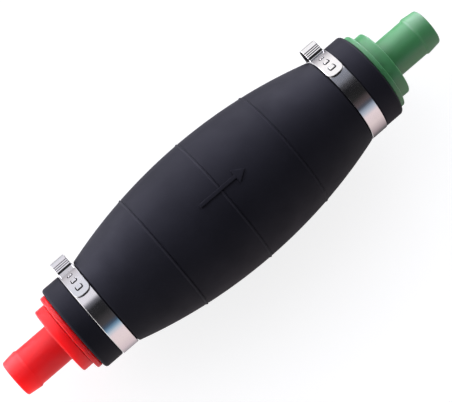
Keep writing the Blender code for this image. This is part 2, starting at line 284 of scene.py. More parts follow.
def turned(name, outline, segments=160, start=0.0, sweep=2 * math.pi, span=None):
    """A closed body turned about X from an outline of (x, radius), with smooth normals from the outline.

    An outline that starts and ends on the axis stays open there. A part turn has flat ends. A span of
    (low, high) keeps only that stretch of x, at whose ends the outline needs points."""
    outline = list(outline)
    on_axis = outline[0][1] == 0 and outline[-1][1] == 0
    area = sum(a[0] * b[1] - b[0] * a[1] for a, b in zip(outline, outline[1:] + outline[:1]))
    if area < 0:
        outline.reverse()
    normals = outline_normals(outline, closed=not on_axis)
    low, high = span or (-math.inf, math.inf)
    kept = [i for i, point in enumerate(outline) if low <= point[0] <= high]
    outline, normals = [outline[i] for i in kept], normals[kept]
    full = abs(sweep - 2 * math.pi) < 1e-9
    rings = segments if full else segments + 1
    verts, directions = [], []
    for j in range(rings):
        theta = start + sweep * j / segments
        sin, cos = math.sin(theta), math.cos(theta)
        for (x, r), (nx, nr) in zip(outline, normals):
            verts.append((x * MM, r * sin * MM, r * cos * MM))
            directions.append((nx, nr * sin, nr * cos))
    count = len(outline)
    faces = []
    for j in range(segments):
        a, b = j * count, (j + 1) % rings * count
        for i in range(count - 1 if on_axis else count):
            k = (i + 1) % count
            faces.append((a + i, b + i, b + k, a + k))
    side_faces = len(faces)
    if not full:
        faces.append(tuple(range(count)))
        faces.append(tuple(segments * count + i for i in reversed(range(count))))
    obj = new_object(name, verts, faces)
    mesh = obj.data
    mesh.polygons.foreach_set("use_smooth", [i < side_faces for i in range(len(faces))])
    if on_axis:
        bm = bmesh.new()
        bm.from_mesh(mesh)
        bmesh.ops.remove_doubles(bm, verts=bm.verts, dist=1e-8)
        bmesh.ops.recalc_face_normals(bm, faces=bm.faces)
        bm.to_mesh(mesh)
        bm.free()
        weigh_normals(obj)
        return obj
    mesh.normals_split_custom_set_from_vertices(directions)
    return obj


def weigh_normals(obj):
    """Smooth shading that large faces keep flat."""
    if obj.modifiers:
        return
    modifier = obj.modifiers.new("Weighted normals", "WEIGHTED_NORMAL")
    modifier.weight = 60
    modifier.keep_sharp = True


def from_bmesh(name, bm, sharp):
    mesh = bpy.data.meshes.new(name)
    bmesh.ops.recalc_face_normals(bm, faces=bm.faces)
    bm.to_mesh(mesh)
    bm.free()
    obj = bpy.data.objects.new(name, mesh)
    bpy.context.scene.collection.objects.link(obj)
    tidy_faces(obj, sharp)
    return obj


def tidy_faces(obj, sharp):
    """Faces turned outwards and smooth, except across edges sharper than so many degrees."""
    bm = bmesh.new()
    bm.from_mesh(obj.data)
    bmesh.ops.remove_doubles(bm, verts=bm.verts, dist=1e-8)
    bmesh.ops.recalc_face_normals(bm, faces=bm.faces)
    for face in bm.faces:
        face.smooth = True
    for edge in bm.edges:
        if len(edge.link_faces) == 2:
            edge.smooth = edge.calc_face_angle(0) < math.radians(sharp)
    bm.to_mesh(obj.data)
    bm.free()
    weigh_normals(obj)


def join_boolean(obj, other, operation):
    """Unites the mesh with another, or cuts the other from it, and removes the other."""
    obj.modifiers.clear()
    modifier = obj.modifiers.new(operation.lower(), "BOOLEAN")
    modifier.operation = operation
    modifier.object = other
    graph = bpy.context.evaluated_depsgraph_get()
    mesh = bpy.data.meshes.new_from_object(obj.evaluated_get(graph))
    obj.modifiers.clear()
    obj.data = mesh
    bpy.data.objects.remove(other, do_unlink=True)


def plate(name, loops, low, high, edge):
    """A flat plate across the axis from closed (y, z) loops, from x = low to high, with rounded edges."""
    curve = bpy.data.curves.new(name, "CURVE")
    curve.dimensions = "2D"
    curve.fill_mode = "BOTH"
    curve.extrude = ((high - low) / 2 - edge) * MM
    curve.bevel_depth = edge * MM
    curve.bevel_resolution = 2
    curve.offset = -edge * MM
    for loop in loops:
        spline = curve.splines.new("POLY")
        spline.points.add(len(loop) - 1)
        for point, (y, z) in zip(spline.points, loop):
            point.co = (y * MM, z * MM, 0, 1)
        spline.use_cyclic_u = True
    source = bpy.data.objects.new(name, curve)
    bpy.context.scene.collection.objects.link(source)
    graph = bpy.context.evaluated_depsgraph_get()
    mesh = bpy.data.meshes.new_from_object(source.evaluated_get(graph))
    bpy.data.objects.remove(source, do_unlink=True)
    mesh.transform(Matrix(((0, 0, 1, 0), (1, 0, 0, 0), (0, 1, 0, 0), (0, 0, 0, 1))))
    mesh.transform(Matrix.Translation(((low + high) / 2 * MM, 0, 0)))
    obj = bpy.data.objects.new(name, mesh)
    bpy.context.scene.collection.objects.link(obj)
    tidy_faces(obj, 40)
    return obj


def finish_piece(obj, material, body=None, replaces=()):
    obj.data.materials.clear()
    obj.data.materials.append(material)
    if body:
        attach(obj, body)
    if replaces:
        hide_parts(*replaces)
    return obj


# ---------------------------------------------------------------- materials


def feed(tree, socket, value):
    """Links another node's output to a socket, or sets the socket to a plain value."""
    if isinstance(value, bpy.types.NodeSocket):
        tree.links.new(value, socket)
    else:
        socket.default_value = value


def math_node(tree, operation, a, b=0.0):
    node = tree.nodes.new("ShaderNodeMath")
    node.operation = operation
    feed(tree, node.inputs[0], a)
    feed(tree, node.inputs[1], b)
    return node.outputs[0]


def mix_colours(tree, factor, first, second):
    node = tree.nodes.new("ShaderNodeMix")
    node.data_type = "RGBA"
    feed(tree, node.inputs["Factor"], factor)
    sockets = [socket for socket in node.inputs if socket.type == "RGBA"]
    feed(tree, sockets[0], first)
    feed(tree, sockets[1], second)
    return [socket for socket in node.outputs if socket.type == "RGBA"][0]


class Nodes:
    """A short way to write a material's node tree."""

    def __init__(self, name):
        self.material = bpy.data.materials.new(name)
        self.material.use_nodes = True
        self.tree = self.material.node_tree
        self.shader = self.tree.nodes["Principled BSDF"]
        coords = self.tree.nodes.new("ShaderNodeTexCoord")
        self.place = coords.outputs["Object"]

    def fill(self, node, inputs):
        for key, value in inputs.items():
            feed(self.tree, node.inputs[key.replace("_", " ")], value)

    def add(self, kind, **inputs):
        node = self.tree.nodes.new(kind)
        self.fill(node, inputs)
        return node

    def set(self, **inputs):
        self.fill(self.shader, inputs)

    def math(self, operation, a, b=0.0):
        return math_node(self.tree, operation, a, b)

    def noise(self, scale, detail=3.0, roughness=0.5, place=None):
        made = self.add(
            "ShaderNodeTexNoise",
            Vector=place or self.place,
            Scale=scale,
            Detail=detail,
            Roughness=roughness,
        )
        return made.outputs["Fac"]

    def spread(self, value, low, high, out_low, out_high):
        """value from low..high turned into out_low..out_high."""
        node = self.add(
            "ShaderNodeMapRange",
            Value=value,
            From_Min=low,
            From_Max=high,
            To_Min=out_low,
            To_Max=out_high,
        )
        return node.outputs["Result"]

    def blend(self, factor, first, second):
        """A colour between two (red, green, blue)."""
        return mix_colours(self.tree, factor, (*first, 1.0), (*second, 1.0))

    def bump(self, height, distance, strength=1.0, under=None):
        node = self.add("ShaderNodeBump", Height=height, Distance=distance, Strength=strength)
        if under is not None:
            self.tree.links.new(under, node.inputs["Normal"])
        return node.outputs["Normal"]


def rubber_material(name, dark, light, roughness, grain):
    """Moulded rubber: fine grain, faint bloom that lightens it in patches, uneven polish."""
    m = Nodes(name)
    bloom = m.spread(m.noise(38, 4, 0.6), 0.35, 0.7, 0.0, 1.0)
    speckle = m.spread(m.noise(1500, 2), 0.3, 0.7, -0.25, 0.25)
    tone = m.math("ADD", bloom, speckle)
    m.set(Base_Color=m.blend(tone, dark, light))
    polish = m.spread(m.noise(90, 3), 0.3, 0.7, roughness - 0.05, roughness + 0.05)
    m.set(Roughness=polish, Specular_IOR_Level=0.21, Specular_Tint=(0.80, 0.79, 1.0, 1.0))
    coarse = m.bump(m.noise(700, 3), 0.00003, 0.5)
    m.set(Normal=m.bump(m.noise(3200, 2), grain, 0.6, coarse))
    return m.material


def plastic_material(name, base, deep, roughness, gloss, travel):
    """Moulded plastic: slight flow streaks along the axis, satin skin, light under the surface."""
    m = Nodes(name)
    stretched = m.add("ShaderNodeMapping", Vector=m.place, Scale=(0.25, 1.0, 1.0)).outputs[0]
    streaks = m.spread(m.noise(160, 3, 0.5, stretched), 0.35, 0.65, 0.0, 1.0)
    m.set(Base_Color=m.blend(streaks, base, deep))
    m.set(Roughness=m.spread(m.noise(240, 3), 0.3, 0.7, roughness - 0.05, roughness + 0.06))
    m.set(Specular_IOR_Level=gloss, Subsurface_Weight=1.0)
    m.set(Subsurface_Radius=travel, Subsurface_Scale=1.0)
    waves = m.bump(m.noise(220, 2, 0.5, stretched), 0.00005, 0.35)
    m.set(Normal=m.bump(m.noise(2600, 2), 0.000008, 0.5, waves))
    return m.material


def steel_material(name, base, roughness, grain):
    """Polished strip: faint rolling lines that run round the band, fine scratches and smudges."""
    m = Nodes(name)
    split = m.add("ShaderNodeSeparateXYZ", Vector=m.place)
    theta = m.math("ARCTAN2", split.outputs["Y"], split.outputs["Z"])
    around = m.math("MULTIPLY", theta, 0.02)
    lines = m.add("ShaderNodeCombineXYZ", X=split.outputs["X"], Y=around).outputs[0]
    rolled = m.noise(5200, 2, 0.6, lines)
    smudge = m.noise(130, 3, 0.6)
    m.set(Base_Color=m.blend(smudge, base, tuple(0.93 * c for c in base)), Metallic=1.0)
    worn = m.spread(smudge, 0.35, 0.7, roughness, roughness + 0.05)
    m.set(Roughness=m.math("ADD", worn, m.spread(rolled, 0.3, 0.7, 0.0, 0.04)))
    m.set(Normal=m.bump(rolled, 0.000002 * grain, 0.5))
    return m.material


# The finish of each of the record's material slots. Rubber: darkest and lightest colour, roughness, grain.
RUBBERS = {
    "bulb_rubber": ((0.0035, 0.0035, 0.0055), (0.0065, 0.0065, 0.0095), 0.62, 0.000012),
    "seal_rubber": ((0.010, 0.010, 0.010), (0.016, 0.016, 0.016), 0.42, 0.000006),
}
# Plastic: its two colours, roughness, gloss, and how far red, green and blue light travel inside it.
PLASTICS = {
    "inlet_plastic": ((0.98, 0.013, 0.018), (0.95, 0.008, 0.012), 0.38, 0.30, (0.024, 0.0008, 0.0008)),
    "outlet_plastic": ((0.056, 0.25, 0.092), (0.046, 0.225, 0.078), 0.35, 0.75, (0.0006, 0.001, 0.0006)),
    "valve_plastic": ((0.62, 0.61, 0.57), (0.56, 0.55, 0.51), 0.42, 0.4, (0.002, 0.002, 0.0015)),
}
# Steel: colour, roughness, and how deep its rolling lines are.
STEELS = {
    "spring_steel": ((0.62, 0.61, 0.60), 0.18, 0.5),
    "clamp_steel": ((0.80, 0.79, 0.79), 0.07, 1.0),
}


def make_materials():
    kinds = ((rubber_material, RUBBERS), (plastic_material, PLASTICS), (steel_material, STEELS))
    return {slot: make(slot, *finish) for make, finishes in kinds for slot, finish in finishes.items()}


# ---------------------------------------------------------------- the bulb


def rib_outline(middle):
    """One moulded rib: a low bead with a fine groove along its downstream side, as (x, radius, corner)."""
    shape = (
        (-0.8, 0.0, 0.4),
        (-0.2, RIB_HEIGHT, 0.3),
        (0.0, RIB_HEIGHT, 0.0),
        (0.25, RIB_HEIGHT, 0.2),
        (0.5, -RIB_GROOVE, 0.08),
        (0.66, -RIB_GROOVE, 0.08),
        (0.84, 0.0, 0.1),
    )
    return [(middle + x, belly(middle + x) + height, corner) for x, height, corner in shape]


def bulb_outline():
    groove_in = CLAMP_CENTRE - GROOVE_WIDTH / 2
    groove_out = CLAMP_CENTRE + GROOVE_WIDTH / 2
    clear = [x for x in range(-68, 69, 2) if min(abs(x - rib) for rib in RIB_PLACES) > RIB_CLEARANCE]
    outer = [(x, belly(x)) for x in clear]
    for rib in RIB_PLACES:
        outer += rib_outline(rib)
    outer.sort()
    end = [
        (groove_in - 0.5, belly(groove_in - 0.5), 0.8),
        (groove_in, GROOVE_RADIUS, 0.25),
        (groove_out, GROOVE_RADIUS, 0.25),
        (groove_out + 0.3, COLLAR_RADIUS, 0.6),
        (RUBBER_END, COLLAR_RADIUS, 1.5),
        (RUBBER_END, NECK_BORE, 0.5),
        (NECK_BORE_END, NECK_BORE, 1.5),
    ]
    # The inner side is coarser. Both sides have points where the skin's middle stretch ends.
    inner = [(x, belly(x) - WALL) for x in range(54, -55, -9)]
    inlet_end = [(-x, *rest) for x, *rest in reversed(end)]
    return rounded(outer + end + inner + inlet_end)


def make_bulb(materials):
    """The rubber as three stretches of two halves.

    The middle stretch would follow the wall that a hand presses, less and less towards the pump's upright
    plane, and the outer ones less and less towards the clamps. Each stretch's way is worked out here but
    not applied."""
    outline = bulb_outline()
    stretches = (
        ("inlet", (-RUBBER_END, -SQUEEZE_FLAT), -1),
        ("middle", (-SQUEEZE_FLAT, SQUEEZE_FLAT), 0),
        ("outlet", (SQUEEZE_FLAT, RUBBER_END), 1),
    )
    for wall, start, side in (("wall_left", 0.0, 1), ("wall_right", math.pi, -1)):
        for stretch, span, away in stretches:
            skin = turned(f"bulb_skin_{wall[5:]}_{stretch}", outline, 110, start, math.pi, span)
            finish_piece(skin, materials["bulb_rubber"])
            way = Vector((-away * SQUEEZE_TAPER, side, 0))
            way *= (BELLY_RADIUS - SQUEEZE_START) / way.length_squared * MM
            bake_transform(skin)
            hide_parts("bulb_" + wall, "bulb_body")


def flow_arrow(materials):
    """The raised arrow: a flat prism with rounded top edges, cut finely and laid round the belly."""
    shaft, head = ARROW_SHAFT / 2, ARROW_HEAD / 2
    half = [(ARROW_TAIL, shaft), (ARROW_NECK, shaft), (ARROW_NECK, head), (ARROW_TIP, 0.0)]
    outline = half + [(x, -t) for x, t in reversed(half[:-1])]
    bm = bmesh.new()
    face = bm.faces.new([bm.verts.new((x, t, -ARROW_ROOT)) for x, t in outline])
    top = bmesh.ops.extrude_face_region(bm, geom=[face])["geom"]
    lifted = [item for item in top if isinstance(item, bmesh.types.BMVert)]
    bmesh.ops.translate(bm, verts=lifted, vec=(0, 0, ARROW_ROOT + ARROW_HEIGHT))
    rim = [e for e in bm.edges if all(v in lifted for v in e.verts)]
    bmesh.ops.bevel(bm, geom=rim, offset=ARROW_EDGE, segments=3, affect="EDGES", profile=0.5)
    for axis, low, high in ((Vector((1, 0, 0)), ARROW_TAIL, ARROW_TIP), (Vector((0, 1, 0)), -head, head)):
        steps = int((high - low) / ARROW_FACET)
        for i in range(1, steps):
            place = axis * (low + (high - low) * i / steps)
            geometry = bm.verts[:] + bm.edges[:] + bm.faces[:]
            bmesh.ops.bisect_plane(bm, geom=geometry, dist=1e-5, plane_co=place, plane_no=axis)
    for vert in bm.verts:
        x, t, height = vert.co
        radius = belly(x) + height
        theta = ARROW_ANGLE + t / belly(x)
        vert.co = (x, radius * math.sin(theta), radius * math.cos(theta))
    bmesh.ops.scale(bm, vec=(MM, MM, MM), verts=bm.verts)
    arrow = from_bmesh("bulb_flow_arrow", bm, 50)
    finish_piece(arrow, materials["bulb_rubber"], "root")


# ---------------------------------------------------------------- nozzles and valve bodies


def nozzle_outline():
    groove = O_RING_SECTION + GAP
    return rounded(
        [
            (NOZZLE_INNER, 10.6, 0.3),
            (NOZZLE_INNER + 6, NOZZLE_BORE, 1.5),
            (HALF_LENGTH, NOZZLE_BORE, 0.6),
            (HALF_LENGTH, TIP_RADIUS, 1.1),
            (BARB + 0.2, BARB_RADIUS, 0.5),
            (BARB - 0.9, HOSE_TAIL, 0.5),
            (HOSE_STOP, HOSE_TAIL, 0.9),
            (HOSE_STOP, FLANGE_RADIUS, 0.8),
            (NOZZLE_FLANGE, FLANGE_RADIUS, 0.3),
            (NOZZLE_FLANGE, SPIGOT_RADIUS, 0.2),
            (O_RING_CENTRE + groove, SPIGOT_RADIUS, 0.15),
            (O_RING_CENTRE + groove, O_RING_RADIUS - groove, 0.3),
            (O_RING_CENTRE - groove, O_RING_RADIUS - groove, 0.3),
            (O_RING_CENTRE - groove, SPIGOT_RADIUS, 0.15),
            (NOZZLE_INNER, SPIGOT_RADIUS, 0.4),
        ]
    )


def valve_body_outline():
    flange_in = RUBBER_END + GAP
    corners = [
        (BODY_OUTER, CHAMBER_RADIUS, 0.3),
        (BODY_OUTER, BODY_FLANGE_RADIUS, 0.6),
        (flange_in, BODY_FLANGE_RADIUS, 0.4),
        (flange_in, SLEEVE_RADIUS, 0.2),
    ]
    for x in reversed(SLEEVE_GROOVES):
        corners += [
            (x + 0.8, SLEEVE_RADIUS, 0.2),
            (x, SLEEVE_GROOVE, 0.2),
            (x - 1.6, SLEEVE_RADIUS, 0.3),
        ]
    corners += [
        (BODY_INNER, SLEEVE_GROOVE, 0.5),
        (BODY_INNER, LIP_RADIUS, 0.5),
        (BODY_INNER + 2.0, LIP_RADIUS, 0.3),
        (BODY_INNER + 2.0, CHAMBER_RADIUS, 0.3),
    ]
    return rounded(corners)


def o_ring_outline():
    turns = [2 * math.pi * i / 24 for i in range(24)]
    return [
        (O_RING_CENTRE + O_RING_SECTION * math.cos(t), O_RING_RADIUS + O_RING_SECTION * math.sin(t))
        for t in turns
    ]


def flipped(outline, side):
    """An outline of the outlet's end, turned round for the inlet's."""
    return [(side * x, r) for x, r in outline]


def make_end(end, materials):
    side = SIDES[end]
    plastic = f"{end}_plastic"
    pieces = (
        ("nozzle", nozzle_outline(), plastic, 160),
        ("valve_body", valve_body_outline(), plastic, 192),
        ("nozzle_o_ring", o_ring_outline(), "seal_rubber", 96),
    )
    for kind, outline, slot, segments in pieces:
        made = turned(f"{end}_{kind}_shape", flipped(outline, side), segments)
        finish_piece(made, materials[slot], "root", [f"{end}_{kind}"])


# ---------------------------------------------------------------- valves


def shifted(outline, x):
    return [(x + s, r) for s, r in outline]


def seat_outline():
    lip = SEAT_BORE + 1.1
    return rounded(
        [
            (0, SEAT_BORE, 0.9),
            (SEAT_LENGTH, SEAT_BORE, 0.25),
            (SEAT_LENGTH, lip, 0.3),
            (SEAT_LENGTH - 0.5, lip + 0.4, 0.2),
            (SEAT_LENGTH - 0.5, CARTRIDGE_RADIUS, 0.2),
            (0, CARTRIDGE_RADIUS, 0.3),
        ]
    )


def seal_outline():
    inner, outer = SEAL_RADII
    near, far = SEAT_LENGTH + GAP, SEAT_LENGTH + GAP + SEAL_LENGTH
    return rounded([(near, inner, 0.15), (near, outer, 0.45), (far, outer, 0.3), (far, inner, 0.15)])


def poppet_outline():
    neck = SEAL_RADII[0] - GAP
    near, far = POPPET_DISC
    return rounded(
        [
            (1.6, 0),
            (1.6, POPPET_HEAD, 1.1),
            (SEAT_LENGTH, POPPET_HEAD, 0.2),
            (SEAT_LENGTH, neck, 0.2),
            (near, neck, 0.2),
            (near, POPPET_RADIUS, 0.4),
            (far, POPPET_RADIUS, 0.7),
            (far, STEM_RADIUS, 1.3),
            (STEM_END, STEM_RADIUS, 0.7),
            (STEM_END, 0),
        ],
        closed=False,
    )


def cage_window(first, last):
    """One window of the cage's plate, between two of its arms, as (y, z) points with rounded corners."""
    half_arm = CAGE_ARM_WIDTH / 2
    inner, outer = math.asin(half_arm / CAGE_HUB), math.asin(half_arm / CAGE_RIM)
    corners = []
    for arc in (
        arc_points(CAGE_HUB, first + inner, last - inner, 16),
        arc_points(CAGE_RIM, last - outer, first + outer, 36),
    ):
        corners += [(*arc[0], CAGE_CORNER), *arc[1:-1], (*arc[-1], CAGE_CORNER)]
    return rounded(corners)


def make_cage(name, x):
    """The plate that guides the poppet's stem, and the posts that hold it off the seat."""
    near, far = CAGE_PLATE
    spread = 2 * math.pi / CAGE_ARMS
    half_post = CAGE_ARM_WIDTH / 2 / CAGE_RIM
    loops = [
        arc_points(CARTRIDGE_RADIUS, 0, 2 * math.pi, 96)[:-1],
        arc_points(CAGE_BORE, 0, 2 * math.pi, 32)[:-1],
    ]
    # The posts end inside the plate and just short of its rim, so that they join it cleanly.
    posts = []
    for i in range(CAGE_ARMS):
        arm = spread * i
        loops.append(cage_window(arm, arm + spread))
        low = arc_points(CAGE_RIM + 0.6, arm - half_post, arm + half_post, 4)
        high = arc_points(CARTRIDGE_RADIUS - 0.02, arm - half_post, arm + half_post, 4)
        post = plate(f"{name}_post", [low + high[::-1]], SEAT_LENGTH + GAP, near + 1.5, CAGE_EDGE)
        posts.append(post)
    cage = plate(name, loops, near, far, CAGE_EDGE)
    for post in posts:
        join_boolean(cage, post, "UNION")
    tidy_faces(cage, 40)
    cage.data.transform(Matrix.Translation((x * MM, 0, 0)))
    return cage


def make_spring(name, x):
    """A coil of round wire between the poppet's disc and the cage."""
    start, end = SPRING_FOOT + SPRING_WIRE, SPRING_TOP - SPRING_WIRE
    steps, sides = 264, 12
    verts, faces = [], []
    for i in range(steps + 1):
        share = i / steps
        turn = 2 * math.pi * SPRING_TURNS * share
        sin, cos = math.sin(turn), math.cos(turn)
        along = start + (end - start) * share
        for j in range(sides):
            around = 2 * math.pi * j / sides
            r = SPRING_RADIUS + SPRING_WIRE * math.cos(around)
            verts.append(((x + along + SPRING_WIRE * math.sin(around)) * MM, r * sin * MM, r * cos * MM))
    for i in range(steps):
        for j in range(sides):
            a, b = i * sides + j, i * sides + (j + 1) % sides
            faces.append((a, b, b + sides, a + sides))
    faces.append(tuple(reversed(range(sides))))
    faces.append(tuple(steps * sides + j for j in range(sides)))
    spring = new_object(name, verts, faces)
    tidy_faces(spring, 60)
    return spring


def make_valve(end, materials):
    upstream = node_span(f"{end}_valve_seat")[0]
    pieces = (
        ("valve_seat", seat_outline(), "valve_plastic", "root"),
        ("poppet_seal", seal_outline(), "seal_rubber", f"{end}_poppet"),
        ("valve_poppet", poppet_outline(), "valve_plastic", f"{end}_poppet"),
    )
    for kind, outline, slot, body in pieces:
        made = turned(f"{end}_{kind}_shape", shifted(outline, upstream), 96)
        finish_piece(made, materials[slot], body, [f"{end}_{kind}"])
    cage = make_cage(f"{end}_valve_cage_shape", upstream)
    finish_piece(cage, materials["valve_plastic"], "root", [f"{end}_valve_cage"])
    spring = make_spring(f"{end}_valve_spring_shape", upstream)
    finish_piece(spring, materials["spring_steel"], "root", [f"{end}_valve_spring"])
    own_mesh(spring)


# ---------------------------------------------------------------- clamps


def strip_path(end):
    """The strip's middle line across the pump, as (y, z): outer lap, creased ear, then once round."""
    lap_end = LAP_ENDS[end]
    lap_foot = math.asin(EAR_REACH / LAP_MIDDLE)
    band_foot = math.asin(EAR_REACH / BAND_MIDDLE)
    lap_steps = round((EAR_ANGLE - lap_foot - lap_end) / math.radians(0.9))
    path = arc_points(LAP_MIDDLE, lap_end, EAR_ANGLE - lap_foot, lap_steps)[:-1]
    inward, slant, top = EAR_CREASES[end]
    # A radius of 0 stands for the leg's foot, which is lower on the band's side than on the lap's.
    leg = [(EAR_HALF, 0.0, 0.6), (EAR_HALF, CREASE_START, 0.2)]
    for crease in range(CREASE_COUNT):
        t, r = EAR_HALF - inward * (crease + 1), CREASE_START + CREASE_PITCH * crease
        leg += [(t, r + slant, 0.12), (t, r + CREASE_PITCH, 0.12)]
    leg += [(top, EAR_TOP_MIDDLE, 0.9)]
    near = [(-t, r or LAP_MIDDLE - 0.3, corner) for t, r, corner in leg]
    far = [(t, r or BAND_MIDDLE - 0.25, corner) for t, r, corner in reversed(leg)]
    lap_start = (-EAR_REACH, math.sqrt(LAP_MIDDLE**2 - EAR_REACH**2))
    band_start = (EAR_REACH, math.sqrt(BAND_MIDDLE**2 - EAR_REACH**2))
    ear = rounded([lap_start, *near, *far, band_start], closed=False, step=math.radians(7))
    sin, cos = math.sin(EAR_ANGLE), math.cos(EAR_ANGLE)
    for (t, r), (t_next, r_next) in zip(ear, ear[1:]):
        steps = max(1, round(math.hypot(t_next - t, r_next - r) / 0.2))
        for k in range(steps):
            tt, rr = t + (t_next - t) * k / steps, r + (r_next - r) * k / steps
            path.append((rr * sin + tt * cos, rr * cos - tt * sin))
    return path + arc_points(BAND_MIDDLE, EAR_ANGLE + band_foot, STRIP_END, 236)


def strip_section(half):
    """The strip's section as (across, out): a flat bar with chamfered edges."""
    flat, side_height = half - STRIP_CHAMFER, STRIP / 2 - STRIP_CHAMFER
    section = []
    for side in (1, -1):
        section += [(side * -flat * math.cos(math.pi * i / 14), side * STRIP / 2) for i in range(15)]
        section += [(side * half, side * side_height), (side * half, -side * side_height)]
    return section


def rounded_box(length, width, corner):
    """A rounded rectangle's outline in (x, along the strip)."""
    x, t = width / 2, length / 2
    return rounded([(x, -t, corner), (x, t, corner), (-x, t, corner), (-x, -t, corner)])


def pillar(name, levels):
    """A closed solid standing on +Z, from levels of (height, outline), each an outline of (x, t)."""
    bm = bmesh.new()
    rings = []
    for height, outline in levels:
        rings.append([bm.verts.new((x * MM, t * MM, height * MM)) for x, t in outline])
    count = len(rings[0])
    for low, high in zip(rings, rings[1:]):
        for i in range(count):
            k = (i + 1) % count
            bm.faces.new((low[i], low[k], high[k], high[i]))
    bm.faces.new(rings[0][::-1])
    bm.faces.new(rings[-1])
    return from_bmesh(name, bm, 40)


def press(strip, other, middle, theta, operation):
    """Turns a tool from +Z to its place on the strip, then cuts the strip with it or joins it on."""
    turn = Matrix.Rotation(-theta, 4, "X")
    other.data.transform(Matrix.Translation((middle * MM, 0, 0)) @ turn)
    join_boolean(strip, other, operation)


def window_cutter(length, width):
    """Opens a window through the lap and the turn under it, slightly flared at the top."""
    top = LAP_MIDDLE + STRIP / 2
    straight = rounded_box(length, width, WINDOW_CORNER)
    wide = rounded_box(length + 0.5, width + 0.5, WINDOW_CORNER + 0.25)
    under = BAND_MIDDLE - STRIP / 2 - 0.1
    return pillar("window_cutter", [(under, straight), (top - 0.1, straight), (top + 0.2, wide)])


def hook(length, width):
    """The tongue pressed up out of the inner turn into a window, joined to its edge by the ear."""
    foot, top = BAND_MIDDLE - STRIP / 2 + 0.05, LAP_MIDDLE + STRIP / 2 + 0.05
    away = HOOK_GAP / 2 + 0.1
    base = rounded_box(length - HOOK_GAP, width - 2 * HOOK_GAP, 0.5)
    cap = rounded_box(length - HOOK_GAP - 0.3, width - 2 * HOOK_GAP - 0.3, 0.4)
    levels = [(foot, base), (top - 0.15, base), (top, cap)]
    return pillar("hook", [(height, [(x, t + away) for x, t in outline]) for height, outline in levels])


def bent_strip(name, end):
    """The flat strip bent along its path: rounded at the lap's end, narrower over the ear."""
    path = [Vector(p) for p in strip_path(end)]
    middle = SIDES[end] * CLAMP_CENTRE
    run = [0.0]
    for a, b in zip(path, path[1:]):
        run.append(run[-1] + (b - a).length)
    # How far along the strip the ear's legs and top are.
    raised = [run[i] for i, point in enumerate(path) if point.length > LAP_MIDDLE + 0.8]
    verts, faces = [], []
    for i, point in enumerate(path):
        ahead, behind = path[min(i + 1, len(path) - 1)], path[max(i - 1, 0)]
        along = (ahead - behind).normalized()
        out = Vector((-along.y, along.x))
        half = BAND_WIDTH / 2
        if run[i] < LAP_CORNER:
            half -= LAP_CORNER - math.sqrt(LAP_CORNER**2 - (LAP_CORNER - run[i]) ** 2)
        inside = min(run[i] - raised[0] + EAR_SHOULDER, raised[-1] + EAR_SHOULDER - run[i])
        half -= (BAND_WIDTH - EAR_WIDTHS[end]) / 2 * min(max(inside / EAR_SHOULDER, 0.0), 1.0)
        spring = LAP_LIFT * max(1 - run[i] / LAP_LIFT_LENGTH, 0.0) ** 2
        for across, lift in strip_section(half):
            spot = point + out * (lift + spring)
            verts.append(((middle + across) * MM, spot.x * MM, spot.y * MM))
    count = len(strip_section(1.0))
    for i in range(len(path) - 1):
        for j in range(count):
            a, b = i * count + j, i * count + (j + 1) % count
            faces.append((a, b, b + count, a + count))
    faces.append(tuple(range(count)))
    faces.append(tuple((len(path) - 1) * count + j for j in reversed(range(count))))
    strip = new_object(name, verts, faces)
    tidy_faces(strip, 38)
    return strip


def make_clamp(end, materials):
    """One bent strip, with the windows in its lap and the hooks that hold them."""
    middle = SIDES[end] * CLAMP_CENTRE
    clamp = bent_strip(f"{end}_clamp_strip", end)
    for offset, length, width in HOOKS:
        theta = LAP_ENDS[end] + math.radians(offset)
        press(clamp, window_cutter(length, width), middle, theta, "DIFFERENCE")
        press(clamp, hook(length, width), middle, theta, "UNION")
    tidy_faces(clamp, 38)
    finish_piece(clamp, materials["clamp_steel"], "root", [f"{end}_clamp"])


# ---------------------------------------------------------------- surroundings


def make_camera():
    camera = bpy.data.objects.new("camera", bpy.data.cameras.new("camera"))
    bpy.context.scene.collection.objects.link(camera)
    bpy.context.scene.camera = camera
    camera.data.lens = CAMERA_LENS
    camera.data.sensor_width = 36
    camera.data.clip_start, camera.data.clip_end = 0.05, 20
    place, aim = Vector(CAMERA_PLACE) * MM, Vector(CAMERA_AIM) * MM
    back = (place - aim).normalized()
    axis = Vector((1, 0, 0))
    axis = (axis - axis.dot(back) * back).normalized()
    right = math.cos(AXIS_TURN) * axis - math.sin(AXIS_TURN) * back.cross(axis)
    up = back.cross(right)
    camera.matrix_world = Matrix.Translation(place) @ Matrix((right, up, back)).transposed().to_4x4()


